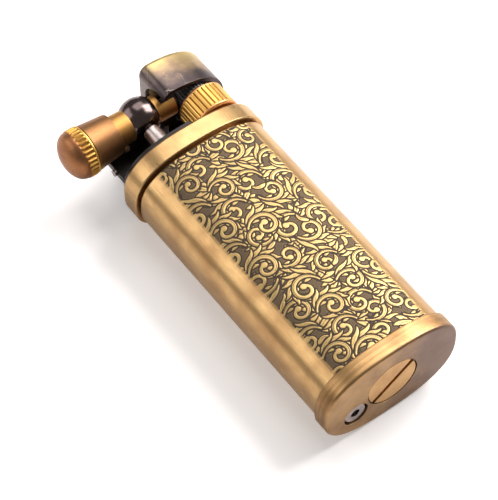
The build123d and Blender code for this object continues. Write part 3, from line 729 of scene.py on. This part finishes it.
def swell(width, steps, peak, start):
    """Half widths of a leaf that swells from its root and narrows to its tip."""
    widths = []
    for i in range(steps):
        t = i / (steps - 1)
        if t < peak:
            share = start + (1 - start) * sin(t / peak * pi / 2)
        else:
            share = cos((t - peak) / (1 - peak) * pi / 2) ** 0.8
        widths.append(max(width * share, TIP_HALF_WIDTH))
    return widths


def sideways(points, amount):
    """The same line moved to its left."""
    spots = np.asarray(points)
    ahead = np.gradient(spots, axis=0)
    ahead /= np.linalg.norm(ahead, axis=1)[:, None]
    return spots + amount * np.stack([-ahead[:, 1], ahead[:, 0]], axis=1)


def leaf(relief, points, width, peak, start):
    """A raised leaf, with a fine cut along it when it is wide."""
    relief.raise_stroke(points, swell(width, len(points), peak, start), LEAF_OUTLINE)
    if width > VEINED_FROM:
        relief.cut_line(points[len(points) // 6:len(points) * 6 // 10], VEIN_DARK)


def volute(relief, root, heading, side, size, rng):
    """A leafy scroll: long fronds hug its back, lobes sit inside, then the winding band and its ball."""
    path, headings = curl(root, heading, side, size)
    unit = size / SCROLL_UNIT
    for share, reach, width in FRONDS:
        i = int(share * (CURL_STEPS - 1))
        length = reach * size * rng.uniform(0.92, 1.1)
        points = frond(path[i], headings[i] - side * 0.34, side, length, rng.uniform(1.25, 1.5), 2.3)
        leaf(relief, points, width * unit, 0.42, 0.5)
    for share, reach in LOBES:
        i = int(share * (CURL_STEPS - 1))
        points = frond(path[i], headings[i] + side * 0.45, side, reach * size, 1.2, 1.2, 20)
        relief.raise_stroke(points, swell(LOBE_HALF_WIDTH * unit, len(points), 0.5, 0.6), LOBE_OUTLINE)
    widths = []
    for i in range(CURL_STEPS):
        share = i / CURL_STEPS
        widths.append(unit * (0.13 + 0.20 * sin(min(share / 0.4, 1) * pi / 2) - 0.10 * share))
    relief.raise_stroke(path + path[-1:], widths + [BALL_HALF_WIDTH * unit], BAND_OUTLINE)
    relief.cut_line(sideways(path, -side * BAND_LINE_OFFSET * unit)[BAND_LINE_STEPS], BAND_LINE_DARK)


def spray(relief, root, heading, size, count, rng):
    """Leaves that fan out from one root, the middle one last and longest."""
    middle = (count - 1) / 2
    for k in sorted(range(count), key=lambda k: -abs(k - middle)):
        off = (k - middle) / middle
        length = size * (1 - 0.3 * abs(off)) * rng.uniform(0.92, 1.08)
        points = frond(root, heading + off * 0.8, 1 if off > 0 else -1, length, 0.9 * abs(off) + 0.1, 0.9)
        leaf(relief, points, 0.36 * size / 2.6, 0.55, 0.25)


def fill_gaps(relief, rng):
    """Curled leaves wherever a wide patch of bare ground is left."""
    for _ in range(GAP_TRIES):
        x, z, share = relief.widest_gap(GAP_REACH)
        if share < GAP_SHARE:
            break
        heading = rng.uniform(0, 2 * pi)
        length = rng.uniform(1.9, 2.6)
        root = (x - cos(heading) * length * 0.45, z - sin(heading) * length * 0.45)
        points = frond(root, heading, rng.choice((-1, 1)), length, 1.9, -0.6, 24)
        leaf(relief, points, 0.36, 0.7, 0.3)


def engrave(bottom, top):
    """The panel's scrolls: staggered columns of volutes, each with a spray of leaves at its root."""
    rng = random.Random(ENGRAVING_SEED)
    relief = Relief(bottom, top)
    roots = []
    for row in SCROLL_ROWS:
        for number, column in enumerate(SCROLL_COLUMNS):
            x = column + rng.uniform(-SCROLL_STRAY, SCROLL_STRAY)
            height = (row + 0.5 * (number % 2)) * SCROLL_RISE
            z = bottom + SCROLL_START + height + rng.uniform(-SCROLL_STRAY, SCROLL_STRAY)
            roots.append((x, z, 1 if (row + number) % 2 else -1))
    rng.shuffle(roots)
    for x, z, side in roots:
        heading = pi / 2 + side * rng.uniform(0.6, 1.5)
        spray(relief, (x - side * 1.5, z - 0.9), heading, rng.uniform(3.0, 3.7), 5, rng)
    for x, z, side in roots:
        size = rng.uniform(*SCROLL_SIZE)
        way = -1 if rng.random() < SCROLL_DOWNWARD else 1
        heading = way * pi / 2 - side * way * rng.uniform(-0.1, 0.8)
        volute(relief, (x - side * 1.8, z - 0.9 * way), heading, -side * way, size, rng)
    fill_gaps(relief, rng)
    return relief


# ---------------------------------------------------------------- pieces
def new_piece(name, vertices, faces, body, replaced):
    """A smooth mesh piece in millimetres that rides on a body and stands for a CAD node."""
    data = bpy.data.meshes.new(name)
    data.from_pydata([tuple(c * MM for c in v) for v in vertices], [], faces)
    data.validate()
    data.polygons.foreach_set("use_smooth", [True] * len(data.polygons))
    data.update()
    piece = bpy.data.objects.new(name, data)
    bpy.context.collection.objects.link(piece)
    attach(piece, body)
    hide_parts(replaced)
    return piece


def superellipse(half, turn):
    """Point of a section at a parameter angle; the front is at negative angles."""
    power = 2 / SECTION_POWER
    x = half[0] * abs(cos(turn)) ** power * (1 if cos(turn) >= 0 else -1)
    y = half[1] * abs(sin(turn)) ** power * (1 if sin(turn) >= 0 else -1)
    return x, y


def outward(half, x, y):
    """Unit normal of a section at one of its points."""
    power = SECTION_POWER - 1
    nx = abs(x / half[0]) ** power / half[0] * (1 if x >= 0 else -1)
    ny = abs(y / half[1]) ** power / half[1] * (1 if y >= 0 else -1)
    size = sqrt(nx * nx + ny * ny)
    return nx / size, ny / size


def make_sleeve():
    """The sleeve as one closed shell, its front panel lowered to the engraving's height field."""
    lo, hi = (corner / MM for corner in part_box("body_sleeve"))
    half = ((hi.x - lo.x) / 2, (hi.y - lo.y) / 2)
    relief = engrave(lo.z, hi.z)
    power = SECTION_POWER
    panel = [(x, -half[1] * (1 - abs(x / half[0]) ** power) ** (1 / power)) for x in relief.x]
    right = -np.arccos((PANEL_HALF / half[0]) ** (power / 2))
    left = pi - right
    rest = [superellipse(half, right + (left - right) * k / SLEEVE_STEPS) for k in range(1, SLEEVE_STEPS)]
    ring = panel + rest
    normals = [outward(half, x, y) for x, y in ring]
    columns, rows = len(ring), len(relief.z)
    vertices = []
    for j, z in enumerate(relief.z):
        for i, (x, y) in enumerate(ring):
            sink = ENGRAVING_DEPTH * (1 - relief.height[j, i]) if i < len(panel) else 0.0
            vertices.append((x - normals[i][0] * sink, y - normals[i][1] * sink, z))
    for z in (hi.z, lo.z):
        for i, (x, y) in enumerate(ring):
            vertices.append((x - normals[i][0] * SLEEVE_WALL, y - normals[i][1] * SLEEVE_WALL, z))
    loops = [[j * columns + i for i in range(columns)] for j in range(rows + 2)]
    faces = []
    for below, above in zip(loops, loops[1:] + loops[:1]):
        for i in range(columns):
            n = (i + 1) % columns
            faces.append((below[i], below[n], above[n], above[i]))
    piece = new_piece("engraved_sleeve", vertices, faces, "body", "body_sleeve")
    mark(piece, "cut", relief.line, columns, len(panel))
    mark(piece, "ground", relief.ground, columns, len(panel))
    mark(piece, "panel", np.ones_like(relief.ground), columns, len(panel))
    return piece


def mark(piece, name, field, columns, width):
    """Stores a field of the panel on the sleeve's points, nought elsewhere."""
    values = np.zeros(len(piece.data.vertices))
    block = np.zeros((field.shape[0], columns))
    block[:, :width] = field
    values[:block.size] = block.ravel()
    piece.data.attributes.new(name, "FLOAT", "POINT").data.foreach_set("value", values)


def turned(rows, columns, count, groove, place):
    """A turned solid. Each row is (radius, height, depth of its count upright grooves)."""
    vertices, faces, marks = [], [], []
    for radius, height, depth in rows:
        for i in range(columns):
            turn = 2 * pi * i / columns
            share = (i * count / columns + 0.5) % 1 - 0.5
            cut = groove(share, i * count // columns) if depth else 0.0
            r = radius - depth * cut
            vertices.append(place(r * cos(turn), r * sin(turn), height))
            marks.append(cut)
    for j in range(len(rows) - 1):
        for i in range(columns):
            n = (i + 1) % columns
            low, high = j * columns, (j + 1) * columns
            faces.append((low + i, low + n, high + n, high + i))
    return vertices, faces, marks


def finish_turned(piece, marks):
    """Stores how deep each point lies in a groove, and makes the sharp edges sharp."""
    piece.data.attributes.new("groove", "FLOAT", "POINT").data.foreach_set("value", marks)
    mesh = bmesh.new()
    mesh.from_mesh(piece.data)
    bmesh.ops.recalc_face_normals(mesh, faces=mesh.faces)
    mesh.to_mesh(piece.data)
    mesh.free()
    piece.data.set_sharp_from_angle(angle=radians(SHARP_ANGLE))


def make_roller():
    """The thumb roller: deep straight grooves, worn unevenly, between two smooth rims."""
    lo, hi = (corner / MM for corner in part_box("thumb_roller"))
    x, y = (lo.x + hi.x) / 2, (lo.y + hi.y) / 2
    radius = (hi.x - lo.x) / 2
    rng = random.Random(ROLLER_SEED)
    depths = [rng.uniform(0.75, 1.0) for _ in range(KNURLS)]
    slants = [rng.uniform(-0.03, 0.03) for _ in range(KNURLS)]

    def groove(share, index):
        """Depth of 0 to 1 at a share of the pitch away from a groove's middle."""
        away = abs(share + slants[index % KNURLS]) / ROLLER_GROOVE
        return depths[index % KNURLS] * max(0.0, cos(min(away, 1) * pi / 2)) ** 0.7

    rows = [(ROLLER_BORE_R, lo.z, 0)]
    rows += [(radius - inset, lo.z + rise, 0) for inset, rise in ROLLER_RIM]
    rows += [(radius - ROLLER_LAND_INSET, lo.z + rise, depth) for rise, depth in ROLLER_LAND]
    rows += [(radius - inset, hi.z - rise, 0) for inset, rise in reversed(ROLLER_RIM)]
    rows += [(ROLLER_BORE_R, hi.z, 0), (ROLLER_BORE_R, lo.z, 0)]
    vertices, faces, marks = turned(rows, KNURLS * ROLLER_STEPS, KNURLS, groove,
                                    lambda a, b, h: (x + a, y + b, h))
    piece = new_piece("grooved_roller", vertices, faces, "roller", "thumb_roller")
    finish_turned(piece, marks)
    return piece


def make_knob():
    """The flint screw's knob: rounded ridges, a smooth ring by the barrel and a polished dome."""
    lo, hi = (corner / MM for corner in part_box("flint_knob"))
    y, z = (lo.y + hi.y) / 2, (lo.z + hi.z) / 2
    radius = (hi.z - lo.z) / 2
    ring = hi.x - lo.x - KNOB_DOME
    rng = random.Random(KNOB_SEED)
    depths = [rng.uniform(0.8, 1.0) for _ in range(KNURLS)]

    def groove(share, index):
        """Depth of 0 to 1 at a share of the pitch away from a groove's middle."""
        return depths[index % KNURLS] * (0.5 + 0.5 * cos(2 * pi * share)) ** 0.8

    rows = [(KNOB_BORE_R, ring, 0), (KNOB_BORE_R, 0, 0)]
    rows += [(radius - inset, rise, depth) for inset, rise, depth in KNOB_FOOT]
    rows += [(radius - inset, ring + rise, depth) for inset, rise, depth in KNOB_SHOULDER]
    inset, rise, _ = KNOB_SHOULDER[-1]
    for k in range(1, KNOB_DOME_ROWS):
        turn = k / KNOB_DOME_ROWS * pi / 2
        rows.append(((radius - inset) * cos(turn), ring + rise + (KNOB_DOME - rise) * sin(turn), 0))
    rows.append((KNOB_TIP_R, ring + KNOB_DOME, 0))
    columns = KNURLS * KNOB_STEPS
    vertices, faces, marks = turned(rows, columns, KNURLS, groove, lambda a, b, h: (hi.x - h, y + a, z + b))
    faces.append(tuple(range(columns)))
    faces.append(tuple(range(len(vertices) - columns, len(vertices))))
    piece = new_piece("domed_knob", vertices, faces, "knob", "flint_knob")
    finish_turned(piece, marks)
    return piece


def make_coils(node):
    """A compression spring, copied from its CAD node to ride on the body in the node's place."""
    data = frame["nodes"][node].data.copy()
    piece = bpy.data.objects.new(node + "_coils", data)
    bpy.context.collection.objects.link(piece)
    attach(piece, "body")
    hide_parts(node)
    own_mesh(piece)


make_camera()
make_floor()
make_studio()
dress_frame()
make_coils("fill_valve_spring")
make_coils("burner_spring")
make_coils("flint_spring")
make_sleeve().data.materials.append(engraved_brass())
make_roller().data.materials.append(roller_brass())
make_knob().data.materials.append(knob_brass())
